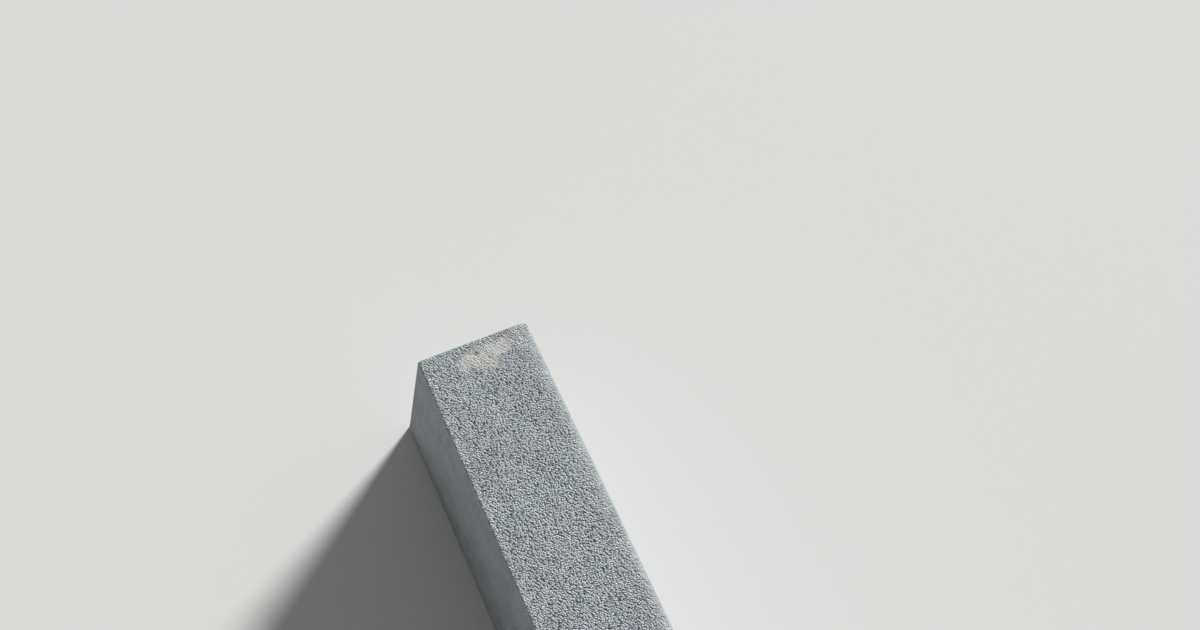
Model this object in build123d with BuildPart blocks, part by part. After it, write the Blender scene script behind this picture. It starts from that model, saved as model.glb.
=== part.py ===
"""A straight precast concrete kerb stone with a battered face and a rounded nose.

The stone is one piece, cast in a steel mould. It stands on its flat bed at z = 0, with
its face on the +X side, its back on the -X side and its length along Y. The lower half of
the face is upright, because it is bedded in. The upper half leans back to the nose, which
is rounded so that tyres don't chip it. The origin is at the centre of the bed.
"""

import os

from build123d import *

# Driving dimensions, in millimetres.
length = 1000.0  # one straight stone, end to end
height = 280.0  # bed to top
bed_width = 170.0  # back to the upright part of the face
top_width = 140.0  # back to where the top and the battered face would meet
batter_height = 140.0  # upper part of the face, which leans back
nose_radius = 15.0  # between the top and the battered face
bend_radius = 20.0  # where the battered face meets the upright one
back_arris_radius = 3.0  # between the top and the back
bed_arris_radius = 2.0  # along both long edges of the bed
end_arris = 1.5  # chamfer all round each end

# Places that follow from them. The stone's back and face are as far from the origin.
back_x = -bed_width / 2
face_x = bed_width / 2
nose_x = back_x + top_width
bend_z = height - batter_height

# The outline of the cross-section, from the foot of the back round to the top of the back,
# with the radius of each corner.
section_corners = [
    ((back_x, 0), bed_arris_radius),
    ((face_x, 0), bed_arris_radius),
    ((face_x, bend_z), bend_radius),
    ((nose_x, height), nose_radius),
    ((back_x, height), back_arris_radius),
]

with BuildPart() as kerb_stone:
    # The cross-section, drawn across the stone and drawn out both ways to its two ends.
    with BuildSketch(Plane.XZ) as section:
        with BuildLine() as outline:
            FilletPolyline(
                *[corner for corner, radius in section_corners],
                radius=[radius for corner, radius in section_corners],
                close=True,
            )
        make_face()
    extrude(amount=length / 2, both=True)

    # The mould leaves a small chamfer round each end, so that its edges don't spall.
    ends = kerb_stone.faces().filter_by(Axis.Y)
    chamfer(ends.edges(), end_arris)

kerb_stone.part.label = "kerb_stone"

os.makedirs("parts", exist_ok=True)
export_step(kerb_stone.part, "parts/kerb_stone.step")

volume_litres = kerb_stone.part.volume / 1e6
print(f"kerb_stone: {volume_litres:.2f} litres, box {kerb_stone.part.bounding_box().size}")
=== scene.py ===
from math import atan2, cos, hypot, pi, radians, sin, tan
from random import Random

import bpy
from mathutils import Matrix, Vector, noise


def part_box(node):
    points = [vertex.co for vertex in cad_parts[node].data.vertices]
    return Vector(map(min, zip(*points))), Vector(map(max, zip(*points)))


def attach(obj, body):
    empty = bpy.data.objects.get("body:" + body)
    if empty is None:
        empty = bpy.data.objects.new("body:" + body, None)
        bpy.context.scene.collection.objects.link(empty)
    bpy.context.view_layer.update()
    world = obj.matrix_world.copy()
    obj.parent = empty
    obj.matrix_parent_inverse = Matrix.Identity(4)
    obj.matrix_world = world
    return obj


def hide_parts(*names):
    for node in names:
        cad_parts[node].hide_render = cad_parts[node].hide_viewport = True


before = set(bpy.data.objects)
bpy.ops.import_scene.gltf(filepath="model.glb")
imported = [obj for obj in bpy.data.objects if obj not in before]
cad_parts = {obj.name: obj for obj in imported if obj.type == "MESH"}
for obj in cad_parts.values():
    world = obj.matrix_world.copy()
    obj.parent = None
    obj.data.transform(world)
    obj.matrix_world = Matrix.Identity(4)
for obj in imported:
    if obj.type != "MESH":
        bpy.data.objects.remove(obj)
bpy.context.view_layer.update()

stone_low, stone_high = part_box("kerb_stone")
scene = bpy.context.scene
scene.view_settings.view_transform = "Standard"

# The camera is held by hand about a metre above the stone, a little behind its back, and
# looks steeply down across it. The hand that holds it is turned, so the stone runs aslant
# down the picture and out of its lower edge.
camera_above_top = 0.998
camera_behind_back = 0.172
camera_short_of_far_end = 0.312
camera_heading = radians(-54.53)
camera_tilt = radians(26.24)
camera_roll = radians(30.59)
picture_width = 1200
focal_length_in_pixels = 900

camera_data = bpy.data.cameras.new("camera")
camera_data.sensor_width = 36.0
camera_data.lens = camera_data.sensor_width * focal_length_in_pixels / picture_width
camera = bpy.data.objects.new("camera", camera_data)
scene.collection.objects.link(camera)
scene.camera = camera
camera_place = Vector((
    stone_low.x - camera_behind_back,
    stone_high.y - camera_short_of_far_end,
    stone_high.z + camera_above_top,
))
camera.matrix_world = (
    Matrix.Translation(camera_place)
    @ Matrix.Rotation(camera_heading, 4, "Z")
    @ Matrix.Rotation(camera_tilt, 4, "X")
    @ Matrix.Rotation(camera_roll, 4, "Z")
)

# A plain pale floor, one soft lamp in front of the stone's face and an even pale surround.
# Together they light a level white surface to just white.
floor_half_size = 12.0
floor_colour = (0.70, 0.70, 0.69, 1.0)
floor_roughness = 0.9
floor_gloss = 0.2
lamp_direction = Vector((0.86, 0.51, 0.0)).normalized()
lamp_elevation = radians(38)
lamp_spread = radians(10)
lamp_share = 0.78

bpy.ops.object.select_all(action="DESELECT")
bpy.ops.mesh.primitive_plane_add(size=2 * floor_half_size, location=(0, 0, stone_low.z))
floor = bpy.context.object
floor.name = "floor"
floor_material = bpy.data.materials.new("pale_floor")
floor_material.use_nodes = True
floor_shader = floor_material.node_tree.nodes["Principled BSDF"]
floor_shader.inputs["Base Color"].default_value = floor_colour
floor_shader.inputs["Roughness"].default_value = floor_roughness
floor_shader.inputs["Specular IOR Level"].default_value = floor_gloss
floor.data.materials.append(floor_material)

lamp_data = bpy.data.lights.new("soft_lamp", "SUN")
lamp_data.energy = lamp_share * pi / sin(lamp_elevation)
lamp_data.angle = lamp_spread
lamp = bpy.data.objects.new("soft_lamp", lamp_data)
scene.collection.objects.link(lamp)
towards_lamp = lamp_direction * cos(lamp_elevation) + Vector((0, 0, sin(lamp_elevation)))
lamp.rotation_euler = towards_lamp.to_track_quat("Z", "Y").to_euler()

# The surround lights the stone evenly. The camera sees it as pale as the floor.
world = bpy.data.worlds.new("pale_surround")
scene.world = world
world.use_nodes = True
surround = world.node_tree.nodes["Background"]
surround.inputs["Color"].default_value = (1.0, 1.0, 1.0, 1.0)
surround.inputs["Strength"].default_value = 1 - lamp_share
seen_surround = world.node_tree.nodes.new("ShaderNodeBackground")
seen_surround.inputs["Color"].default_value = floor_colour
seen_surround.inputs["Strength"].default_value = 1.0
light_path = world.node_tree.nodes.new("ShaderNodeLightPath")
either = world.node_tree.nodes.new("ShaderNodeMixShader")
world_links = world.node_tree.links
world_links.new(light_path.outputs["Is Camera Ray"], either.inputs["Fac"])
world_links.new(surround.outputs["Background"], either.inputs[1])
world_links.new(seen_surround.outputs["Background"], either.inputs[2])
world_links.new(either.outputs["Shader"], world.node_tree.nodes["World Output"].inputs["Surface"])

# The stone's form. It is cast in one piece in a steel mould: an upright lower half that is
# bedded in, a battered upper half, a rounded nose at the front, a square back and two flat
# ends. The numbers are the mould's own, with the steps of each rounding.
bed_width = stone_high.x - stone_low.x
height = stone_high.z - stone_low.z
length = stone_high.y - stone_low.y
top_width = 0.140
batter_height = 0.140
nose_radius = 0.015
nose_steps = 12
bend_radius = 0.020
bend_steps = 2
back_arris_radius = 0.003
back_arris_steps = 3
bed_arris_radius = 0.002
bed_arris_steps = 2
end_arris = 0.0015
tiny = 0.00002

bend_z = stone_high.z - batter_height
nose_x = stone_low.x + top_width
face_lean = atan2(bed_width - top_width, batter_height)
nose_setback = nose_radius * tan((pi / 2 - face_lean) / 2)
bend_setback = bend_radius * tan(face_lean / 2)


def choose(stone, kind, wanted):
    """Selects only the stone's points, edges or faces whose corners all pass the test."""
    bpy.ops.object.mode_set(mode="EDIT")
    bpy.ops.mesh.select_mode(type=kind)
    bpy.ops.mesh.select_all(action="DESELECT")
    bpy.ops.object.mode_set(mode="OBJECT")
    mesh = stone.data
    if kind == "VERT":
        for point in mesh.vertices:
            point.select = wanted([point.co])
    else:
        for shape in mesh.edges if kind == "EDGE" else mesh.polygons:
            shape.select = wanted([mesh.vertices[i].co for i in shape.vertices])
    bpy.ops.object.mode_set(mode="EDIT")


def round_edge(stone, x, z, setback, steps):
    """Rounds the long edge that runs through x, z, a setback to each side of it."""
    choose(stone, "EDGE", lambda ends: all(
        abs(end.x - x) < tiny and abs(end.z - z) < tiny for end in ends
    ))
    bpy.ops.mesh.bevel(offset=setback, offset_type="OFFSET", segments=steps, profile=0.5)


def at_an_end(ends):
    return abs(sum(end.y for end in ends) / len(ends)) > length / 2 - tiny


bpy.ops.object.select_all(action="DESELECT")
bpy.ops.mesh.primitive_cube_add(
    size=1,
    location=(stone_low + stone_high) / 2,
    scale=(bed_width, length, height),
)
stone = bpy.context.object
stone.name = "kerb_stone_cast"
bpy.ops.object.transform_apply(location=True, rotation=True, scale=True)

# The batter: a line round the stone at half height, and the top's front edge pushed back.
# The ends stay one face each.
bpy.ops.object.mode_set(mode="EDIT")
bpy.ops.mesh.select_all(action="SELECT")
bpy.ops.mesh.bisect(plane_co=(0, 0, bend_z), plane_no=(0, 0, 1))
choose(stone, "VERT", lambda ends: ends[0].x > 0 and abs(ends[0].z - stone_high.z) < tiny)
bpy.ops.transform.translate(value=(top_width - bed_width, 0, 0))
choose(stone, "FACE", at_an_end)
bpy.ops.mesh.dissolve_faces()

# The long edges' radii, and the small chamfer round each end.
round_edge(stone, nose_x, stone_high.z, nose_setback, nose_steps)
round_edge(stone, stone_high.x, bend_z, bend_setback, bend_steps)
round_edge(stone, stone_low.x, stone_high.z, back_arris_radius, back_arris_steps)
round_edge(stone, stone_low.x, stone_low.z, bed_arris_radius, bed_arris_steps)
round_edge(stone, stone_high.x, stone_low.z, bed_arris_radius, bed_arris_steps)
choose(stone, "FACE", at_an_end)
bpy.ops.mesh.region_to_loop()
bpy.ops.mesh.bevel(offset=end_arris, offset_type="OFFSET", segments=1, profile=0.5)

# The mesh is divided finely on the top, where the grain shows, and wider elsewhere.
shortest_long_edge = 0.02
top_spacing = 0.005
side_spacing = 0.007
bed_spacing = 0.010
near_top = stone_high.z - 2 * end_arris
near_bed = stone_low.z + 2 * end_arris
bend_reach = 0.003


def across(ends):
    return abs(ends[0].y - ends[1].y) < tiny


def lowest(ends):
    return min(end.z for end in ends)


def highest(ends):
    return max(end.z for end in ends)


def edge_length(ends):
    return (ends[0] - ends[1]).length


def split(stone, spacing, wanted):
    """Divides the long edges that pass the test into pieces about that spacing long."""
    choose(stone, "EDGE", lambda ends: edge_length(ends) > shortest_long_edge and wanted(ends))
    bpy.ops.object.mode_set(mode="OBJECT")
    points = stone.data.vertices
    longest = max(
        edge_length([points[i].co for i in edge.vertices])
        for edge in stone.data.edges
        if edge.select
    )
    bpy.ops.object.mode_set(mode="EDIT")
    bpy.ops.mesh.subdivide(number_cuts=round(longest / spacing) - 1)


split(stone, top_spacing, lambda ends: across(ends) and lowest(ends) > near_top)
split(stone, bed_spacing, lambda ends: across(ends) and highest(ends) < near_bed)
split(stone, side_spacing, lambda ends: across(ends) and lowest(ends) > bend_z - bend_reach)
split(stone, side_spacing, lambda ends: across(ends) and highest(ends) < bend_z + bend_reach)
split(stone, side_spacing, across)
bpy.ops.mesh.select_all(action="SELECT")
bpy.ops.mesh.bisect(plane_co=(0, 0, 0), plane_no=(0, 1, 0))
split(stone, top_spacing, lambda ends: not across(ends))

# The top, the nose and the back arris are divided once more, to a third of that.
fine_cuts = 2
undivided = 0.9 * top_spacing
back_arris_low = stone_high.z - back_arris_radius - tiny
nose_margin = 0.002
nose_low = stone_high.z - nose_radius * (1 + sin(face_lean)) - nose_margin


def on_top_or_nose(point):
    return point.z > (back_arris_low if point.x < 0 else nose_low)


choose(stone, "EDGE", lambda ends: (
    across(ends)
    and lowest(ends) > stone_high.z - tiny
    and max(abs(end.y) for end in ends) < length / 2 - tiny
    and edge_length(ends) > undivided
))
bpy.ops.mesh.subdivide(number_cuts=fine_cuts)
choose(stone, "EDGE", lambda ends: (
    not across(ends)
    and all(on_top_or_nose(end) for end in ends)
    and edge_length(ends) > undivided
))
bpy.ops.mesh.subdivide(number_cuts=fine_cuts)

# Air that was trapped against the mould leaves small round pores in the back, the face and
# the ends. Each is a point bevelled to a round outline, at the profile that makes it round,
# and pushed in.
pore_draw = Random(7)
pore_sizes = ((0.0021, 34), (0.0015, 90), (0.0010, 150))
pore_margin = 0.012
pore_gap = 0.013
round_profile = 0.09


def may_have_pore(point):
    inside_length = abs(point.y) < length / 2 - pore_margin
    inside_height = stone_low.z + pore_margin < point.z < stone_high.z - 2 * nose_radius
    at_bend = abs(point.z - bend_z) < pore_margin
    on_back = abs(point.x - stone_low.x) < tiny
    on_face = point.x > nose_x - tiny and not at_bend
    on_end = abs(point.y) > length / 2 - tiny
    inside_end = stone_low.x + pore_margin < point.x < nose_x - pore_margin
    return inside_height and ((inside_length and (on_back or on_face)) or (on_end and inside_end))


bpy.ops.object.mode_set(mode="OBJECT")
candidates = [point.co.copy() for point in stone.data.vertices if may_have_pore(point.co)]
pore_draw.shuffle(candidates)
pores = []
for place in candidates:
    if len(pores) < sum(count for radius, count in pore_sizes):
        if all((place - other).length > pore_gap for other in pores):
            pores.append(place)

for pore_radius, pore_count in pore_sizes:
    chosen = {tuple(place) for place in pores[:pore_count]}
    del pores[:pore_count]
    choose(stone, "VERT", lambda ends: tuple(ends[0]) in chosen)
    bpy.ops.mesh.bevel(offset=pore_radius, segments=2, profile=round_profile, affect="VERTICES")
    bpy.ops.mesh.select_mode(type="FACE")
    bpy.ops.mesh.dissolve_faces()
    bpy.ops.mesh.inset(
        thickness=pore_radius / 4,
        depth=-pore_radius * 2 / 3,
        use_individual=True,
    )
bpy.ops.mesh.select_mode(type="FACE")
bpy.ops.mesh.select_all(action="DESELECT")
bpy.ops.mesh.select_face_by_sides(number=4, type="GREATER")
bpy.ops.mesh.quads_convert_to_tris(ngon_method="BEAUTY")
bpy.ops.object.mode_set(mode="OBJECT")
bpy.ops.object.shade_smooth_by_angle(angle=radians(40))

# The state of the surface. Rain and feet have opened the top, so its sand grains stand out.
# The nose is worn smoother, and by the far end a smear of old mortar and a thin film of its
# water fill the grain.
flat_end_x = nose_x - nose_setback
top_skin = 0.001
smear_patches = (
    (-0.021, 0.477, 0.025, 0.0125, 1.0),
    (-0.008, 0.468, 0.013, 0.0100, 0.9),
    (0.008, 0.482, 0.022, 0.0120, 1.0),
    (0.029, 0.486, 0.020, 0.0125, 0.55),
)
smear_waves = ((0.35, 150), (0.25, 420))
smear_edge = (1.3, 0.7)
smear_starts_y = 0.44
film_centre = Vector((-0.033, 0.493, stone_high.z))
film_half_width = 0.048
film_half_depth = 0.015
film_waves = ((0.3, 130),)
film_edge = (1.25, 0.6)
film_starts_y = 0.46
rubbed_waves = ((0.008, 28), (0.006, 90), (0.005, 330))
rubbed_edge = (flat_end_x - 0.014, flat_end_x - 0.004)
light_line_edge = (stone_high.z - 0.007, stone_high.z - 0.0005)
smear_fills = 0.84
film_fills = 0.30


def ramp(value, start, end):
    """0 before start, 1 after end and smooth between them, either way round."""
    share = min(1.0, max(0.0, (value - start) / (end - start)))
    return share * share * (3 - 2 * share)


def raggedness(point, waves):
    """How far a ragged edge wanders at a point, from waves given as (reach, per metre)."""
    return sum(reach * noise.noise(point * per_metre) for reach, per_metre in waves)


def smear_amount(point):
    """1 where old mortar covers the top. A patch is x, y, half width, half depth, cover."""
    if point.z < stone_high.z - top_skin or point.y < smear_starts_y:
        return 0.0
    ragged = raggedness(point, smear_waves)
    return max(
        cover * ramp(hypot((point.x - x) / width, (point.y - y) / depth) + ragged, *smear_edge)
        for x, y, width, depth, cover in smear_patches
    )


def film_amount(point):
    """The smooth bluish film of mortar water between the smear and the far end."""
    if point.z < stone_high.z - top_skin or point.y < film_starts_y:
        return 0.0
    from_centre = hypot(
        (point.x - film_centre.x) / film_half_width,
        (point.y - film_centre.y) / film_half_depth,
    )
    return ramp(from_centre + raggedness(point, film_waves), *film_edge)


def rubbed_amount(point):
    """1 from the nose outwards, 0 on the open top, and a ragged edge between them."""
    if point.x < 0:
        return 0.0
    return ramp(point.x + raggedness(point, rubbed_waves), *rubbed_edge)


def nose_amount(point):
    """1 on the light line that tyres and shoes rub along the top of the nose."""
    return rubbed_amount(point) * ramp(point.z, *light_line_edge)


def openness(point):
    """How far the weather has opened the surface, from 0 on a cast side to 1 on the top."""
    if abs(point.y) > length / 2 - tiny:
        return 0.0
    reach = 0.011 if point.x > 0 else 0.004
    on_top = ramp(point.z, stone_high.z - reach, stone_high.z - top_skin)
    off_nose = 1 - 0.45 * rubbed_amount(point)
    off_back = 0.5 + 0.5 * ramp(point.x, stone_low.x + 0.001, stone_low.x + 0.008)
    off_end = 0.7 + 0.3 * ramp(abs(point.y), length / 2 - 0.001, length / 2 - 0.006)
    filled = max(smear_fills * smear_amount(point), film_fills * film_amount(point))
    return on_top * off_nose * off_back * off_end * (1 - filled)


def off_arrises(point):
    """How far the relief may go: the arrises at the back and at the ends stay crisp."""
    from_back = ramp(point.x, stone_low.x + 0.001, stone_low.x + 0.009)
    from_end = ramp(abs(point.y), length / 2 - 0.001, length / 2 - 0.008)
    return from_back * from_end


cast_places = [point.co.copy() for point in stone.data.vertices]
open_amounts = [openness(place) for place in cast_places]
grain_group = stone.vertex_groups.new(name="grain")
uneven_group = stone.vertex_groups.new(name="uneven")
for index, place in enumerate(cast_places):
    relief_amount = open_amounts[index] * off_arrises(place)
    if relief_amount > 0:
        grain_group.add([index], relief_amount, "REPLACE")
    off_bed = ramp(place.z, stone_low.z + 0.002, stone_low.z + 0.02)
    if off_bed > 0:
        uneven_group.add([index], off_bed, "REPLACE")


# The relief. The whole stone is a little uneven, as a cast one is. On the top lie soft
# lumps, sand grains and crumbs. Each relief only goes inwards, by its depth at most.
def press_in(stone, name, kind, size, depth, group):
    """Presses the stone's surface in by a pattern of that kind and size."""
    texture = bpy.data.textures.new(name, kind)
    texture.noise_scale = size
    relief = stone.modifiers.new(name, "DISPLACE")
    relief.texture = texture
    relief.texture_coords = "LOCAL"
    relief.vertex_group = group
    relief.mid_level = 0.0
    relief.strength = -depth
    bpy.ops.object.modifier_apply(modifier=name)


bpy.context.view_layer.objects.active = stone
press_in(stone, "uneven", "CLOUDS", 0.110, 0.0008, "uneven")
smooth_places = [point.co.copy() for point in stone.data.vertices]
for name, kind, size, depth in (
    ("lumps", "CLOUDS", 0.0060, 0.0006),
    ("sand_grains", "VORONOI", 0.0034, 0.0010),
    ("crumbs", "CLOUDS", 0.0011, 0.0014),
):
    press_in(stone, name, kind, size, depth, "grain")

# A grain of iron has rusted out of the smear and left a small pit.
pit_place = Vector((-0.0185, 0.4839, stone_high.z))
pit_depth = 0.0016
pit_radius = 0.003
pit_floor_radius = 0.0008
stain_radius = 0.0040
stain_core_radius = 0.0010
for point, place in zip(stone.data.vertices, cast_places):
    reach = (place - pit_place).length
    if reach < pit_radius:
        point.co.z -= pit_depth * ramp(reach, pit_radius, pit_floor_radius)

# The state of each point is kept on the mesh, for the concrete's colours. The depth gives the
# painted shade in the hollows.
surface_state = {
    "open_grain": open_amounts,
    "mortar_smear": [smear_amount(place) for place in cast_places],
    "worn_nose": [nose_amount(place) for place in cast_places],
    "mortar_film": [film_amount(place) for place in cast_places],
    "rusty_pit": [
        ramp((place - pit_place).length, stain_radius, stain_core_radius)
        for place in cast_places
    ],
    "depth_mm": [
        (place - point.co).length * 1000
        for place, point in zip(smooth_places, stone.data.vertices)
    ],
}
for name, amounts in surface_state.items():
    attribute = stone.data.attributes.new(name, "FLOAT", "POINT")
    attribute.data.foreach_set("value", amounts)

# The concrete is bluish grey cement paste round fine sand. Painted shade, with some dirt,
# darkens the gaps between the grains and the hollows, and tints the top's paste bluer there and
# more neutral on the lit grain tops. The nose is rubbed lighter, and weather has left soft darker
# blotches.
cast_colour = (0.34, 0.366, 0.38)
# Painted light: the top's paste is bluer where its grain lies in painted shade and more neutral
# where it is painted lit.
top_colour_in_painted_shade = (0.64, 0.73, 0.808)
top_colour_painted_lit = (0.74, 0.778, 0.802)
nose_colour = (0.57, 0.61, 0.627)
film_colour = (0.61, 0.675, 0.70)
smear_colour = (0.54, 0.55, 0.53)
rust_colour = (0.22, 0.18, 0.145)
concrete_gloss = 0.3
brightest_shade = 1.15


def node(tree, kind, settings=None, values=None, **fed):
    """Adds a node, sets its settings and values, and feeds its sockets from other nodes.

    A socket is named, or numbered as _0, _1 and so on.
    """
    made = tree.nodes.new(kind)
    for setting, value in (settings or {}).items():
        setattr(made, setting, value)
    for socket, value in (values or {}).items():
        made.inputs[socket].default_value = value
    for socket, source in fed.items():
        key = int(socket[1:]) if socket[0] == "_" else socket.replace("_", " ")
        tree.links.new(source, made.inputs[key])
    return made


def spread(tree, source, low, high, to_low, to_high):
    """Maps low..high to to_low..to_high and holds it there."""
    ends = {1: low, 2: high, 3: to_low, 4: to_high}
    return node(tree, "ShaderNodeMapRange", values=ends, Value=source).outputs["Result"]


def maths(tree, operation, one, two):
    """One sum of two values, each a number or another node's output."""
    made = node(tree, "ShaderNodeMath", {"operation": operation})
    for socket, value in zip(made.inputs, (one, two)):
        if isinstance(value, (int, float)):
            socket.default_value = value
        else:
            tree.links.new(value, socket)
    return made.outputs[0]


def times(tree, one, two):
    return maths(tree, "MULTIPLY", one, two)


def noise_of(tree, place, size, detail):
    """Soft noise whose patches are about that size, in metres."""
    values = {"Scale": 1 / size, "Detail": detail}
    return node(tree, "ShaderNodeTexNoise", values=values, Vector=place).outputs[0]


def mixed(tree, fraction, one, two):
    """The value one where the fraction is 0, and two where it is 1."""
    return node(tree, "ShaderNodeMix", _0=fraction, _2=one, _3=two).outputs[0]


def plain(tree, colour):
    made = node(tree, "ShaderNodeRGB")
    made.outputs[0].default_value = (*colour, 1)
    return made.outputs[0]


def painted(tree, fraction, under, colour):
    """The colour under, and the given colour where the fraction is 1."""
    made = node(
        tree,
        "ShaderNodeMix",
        {"data_type": "RGBA"},
        {7: (*colour, 1)},
        _0=fraction,
        _6=under,
    )
    return made.outputs[2]


def start_group(name, given_sockets, wanted_sockets):
    """A node group with named inputs and outputs, given as (name, kind)."""
    group = bpy.data.node_groups.new(name, "ShaderNodeTree")
    for in_out, sockets in (("INPUT", given_sockets), ("OUTPUT", wanted_sockets)):
        for socket, kind in sockets:
            group.interface.new_socket(socket, in_out=in_out, socket_type="NodeSocket" + kind)
    return group, group.nodes.new("NodeGroupInput"), group.nodes.new("NodeGroupOutput")


# Opened grain: rounded sand grains, each a low cone, with the gaps between them darkened by
# painted shade, partly standing for dirt. The height is in metres. The shade is near 1, darker in
# the gaps as painted shade and lighter on the grain tops as painted light, and a little different
# from grain to grain.
grain_wander = 0.0013
grain_wander_per_metre = 500
cone_height = 0.0074
speck_size = 0.0011
speck_height = 0.0014
dark_grain_share = 0.25

opened, given, wanted = start_group(
    "opened_grain",
    (("Place", "Vector"), ("Grains Per Metre", "Float")),
    (("Height", "Float"), ("Shade", "Float")),
)
warp = node(
    opened,
    "ShaderNodeTexNoise",
    values={"Scale": grain_wander_per_metre, "Detail": 2},
    Vector=given.outputs["Place"],
)
shifted = node(
    opened,
    "ShaderNodeVectorMath",
    {"operation": "MULTIPLY_ADD"},
    {1: (grain_wander, grain_wander, grain_wander)},
    _0=warp.outputs["Color"],
    _2=given.outputs["Place"],
)
grains = node(
    opened,
    "ShaderNodeTexVoronoi",
    Vector=shifted.outputs[0],
    Scale=given.outputs["Grains Per Metre"],
)
from_middle = grains.outputs["Distance"]
specks = noise_of(opened, given.outputs["Place"], speck_size, 2)
cones = spread(opened, from_middle, 0.80, 0.05, 0, cone_height)
grain_relief = maths(opened, "ADD", cones, times(opened, specks, speck_height))
grain_tone = node(opened, "ShaderNodeSeparateColor", _0=grains.outputs["Color"]).outputs[0]
# Painted shade: the gaps between the grains are painted dark, the grain tops a little lighter.
painted_gap_shade = spread(opened, from_middle, 0.9, 0.5, 0.12, 1.15)
speck_shade = spread(opened, specks, 0.3, 0.7, 0.88, 1.12)
dark_grains = spread(opened, grain_tone, 0, dark_grain_share, 0.50, 1)
light_grains = spread(opened, grain_tone, dark_grain_share, 1, 0.97, 1.18)
each_grain = times(opened, dark_grains, light_grains)
grain_shade = times(opened, painted_gap_shade, times(opened, speck_shade, each_grain))
opened.links.new(grain_relief, wanted.inputs["Height"])
opened.links.new(grain_shade, wanted.inputs["Shade"])

# Cast skin: the fine sandy surface that the mould leaves, with faint upright streaks where
# the stone was pushed out of it.
sandy_size = 0.0020
sandy_height = 0.0008
streak_width = 0.006
streak_stretch = 0.05
streak_height = 0.0006

skin, given, wanted = start_group(
    "cast_skin",
    (("Place", "Vector"), ("Streaks", "Float")),
    (("Height", "Float"), ("Shade", "Float")),
)
streaks_wanted = given.outputs["Streaks"]
sandy = noise_of(skin, given.outputs["Place"], sandy_size, 3)
streaked = node(
    skin,
    "ShaderNodeMapping",
    values={"Scale": (1.0, 1.0, streak_stretch)},
    Vector=given.outputs["Place"],
)
streaks = noise_of(skin, streaked.outputs["Vector"], streak_width, 2)
sandy_relief = times(skin, sandy, sandy_height)
streak_relief = times(skin, times(skin, streaks, streaks_wanted), streak_height)
skin_relief = maths(skin, "ADD", sandy_relief, streak_relief)
sandy_shade = spread(skin, sandy, 0.3, 0.7, 0.86, 1.14)
streak_shade = times(skin, spread(skin, streaks, 0.3, 0.7, -0.06, 0.06), streaks_wanted)
skin_shade = times(skin, sandy_shade, maths(skin, "ADD", 1, streak_shade))
skin.links.new(skin_relief, wanted.inputs["Height"])
skin.links.new(skin_shade, wanted.inputs["Shade"])

# The concrete itself: opened grain where the weather has reached, cast skin elsewhere. The
# opened grain lies combed across the stone, as the mix was drawn off level.
grains_per_metre = 490
combing = radians(130)
comb_stretch = (1.2, 0.9, 1.0)
large_blotch_size = 0.045
small_blotch_size = 0.011

concrete = bpy.data.materials.new("weathered_concrete")
concrete.use_nodes = True
tree = concrete.node_tree
shader = tree.nodes["Principled BSDF"]
stone_place = node(tree, "ShaderNodeTexCoord").outputs["Object"]
amount = {
    name: node(tree, "ShaderNodeAttribute", {"attribute_name": name}).outputs["Fac"]
    for name in surface_state
}
combed = node(
    tree,
    "ShaderNodeMapping",
    {"vector_type": "TEXTURE"},
    {"Rotation": (0, 0, combing), "Scale": comb_stretch},
    Vector=stone_place,
)
grain = node(
    tree,
    "ShaderNodeGroup",
    {"node_tree": opened},
    {"Grains Per Metre": grains_per_metre},
    Place=combed.outputs["Vector"],
)
cast = node(tree, "ShaderNodeGroup", {"node_tree": skin}, {"Streaks": 1.0}, Place=stone_place)
large_blotch = noise_of(tree, stone_place, large_blotch_size, 3)
small_blotch = noise_of(tree, stone_place, small_blotch_size, 2)

# Pinholes, a millimetre or two wide, come in clusters. Each is pressed in by the bump and painted
# darker, as painted shade in the hole.
pinhole_cells_per_metre = 120
pinhole_depth = 0.003
cells = node(
    tree,
    "ShaderNodeTexVoronoi",
    values={"Scale": pinhole_cells_per_metre},
    Vector=stone_place,
)
off_cluster = spread(tree, small_blotch, 0.45, 0.68, 0.20, 0)
pinhole_reach = maths(tree, "ADD", cells.outputs["Distance"], off_cluster)
# Painted shade: each pinhole's colour is darkened to under half.
pinholes = spread(tree, pinhole_reach, 0.03, 0.18, 0.45, 1)

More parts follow.
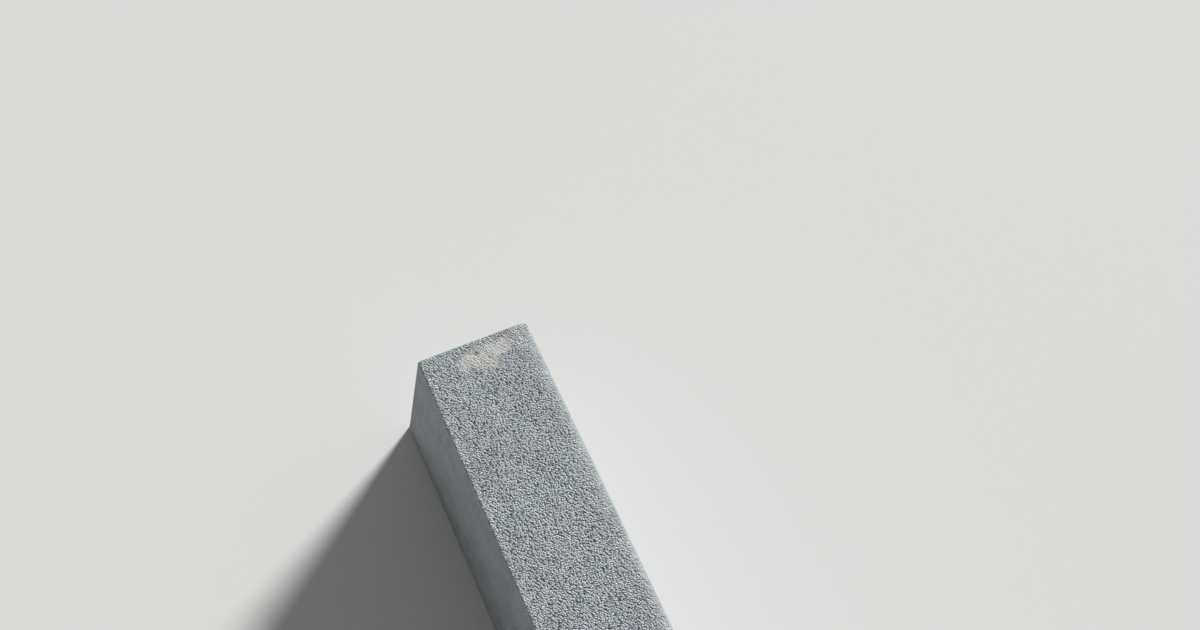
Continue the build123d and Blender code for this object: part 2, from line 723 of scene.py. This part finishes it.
# The relief that the bump stands for, and then how light each place is, in three layers:
# grain or cast skin, with painted shade between the grains; painted shade in the hollows; and
# blotches, with painted shade in the pinholes. No colour is shaded past white.
opening = amount["open_grain"]
patchy_height = spread(tree, small_blotch, 0.35, 0.65, 1.15, 0.85)
top_relief = times(tree, grain.outputs["Height"], patchy_height)
surface_relief = maths(
    tree,
    "ADD",
    mixed(tree, opening, cast.outputs["Height"], top_relief),
    times(tree, pinholes, pinhole_depth),
)
bump = node(tree, "ShaderNodeBump", values={"Distance": 1.0}, Height=surface_relief)
tree.links.new(bump.outputs["Normal"], shader.inputs["Normal"])

# Painted shade: the deeper the relief has pressed a point in, the darker it is painted.
painted_hollow_shade = spread(tree, amount["depth_mm"], 1.1, 2.1, 1.12, 0.82)
top_shade = times(tree, grain.outputs["Shade"], painted_hollow_shade)
blotches = times(
    tree,
    spread(tree, large_blotch, 0.3, 0.7, 0.90, 1.10),
    spread(tree, small_blotch, 0.3, 0.7, 0.96, 1.04),
)
shade = times(
    tree,
    mixed(tree, opening, cast.outputs["Shade"], top_shade),
    times(tree, blotches, pinholes),
)
shade = maths(tree, "MINIMUM", shade, brightest_shade)

# Painted light: the top's paste takes its shade colour where the grain is in painted shade and
# its lit colour where it is painted lit.
painted_light_share = spread(tree, top_shade, 0.55, 1.2, 0, 1)
top_paste_with_painted_light = painted(tree, painted_light_share, plain(tree, top_colour_in_painted_shade), top_colour_painted_lit)
paste = node(
    tree,
    "ShaderNodeMix",
    {"data_type": "RGBA"},
    _0=opening,
    _6=plain(tree, cast_colour),
    _7=top_paste_with_painted_light,
).outputs[2]
for name, colour in (
    ("worn_nose", nose_colour),
    ("mortar_film", film_colour),
    ("mortar_smear", smear_colour),
    ("rusty_pit", rust_colour),
):
    paste = painted(tree, amount[name], paste, colour)
shaded = node(tree, "ShaderNodeVectorMath", {"operation": "SCALE"}, _0=paste, Scale=shade)
tree.links.new(shaded.outputs[0], shader.inputs["Base Color"])
tree.links.new(spread(tree, shade, 0.6, 1.3, 0.95, 0.82), shader.inputs["Roughness"])
shader.inputs["Specular IOR Level"].default_value = concrete_gloss
stone.data.materials.append(concrete)

bpy.ops.object.select_all(action="DESELECT")
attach(stone, "root")
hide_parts("kerb_stone")
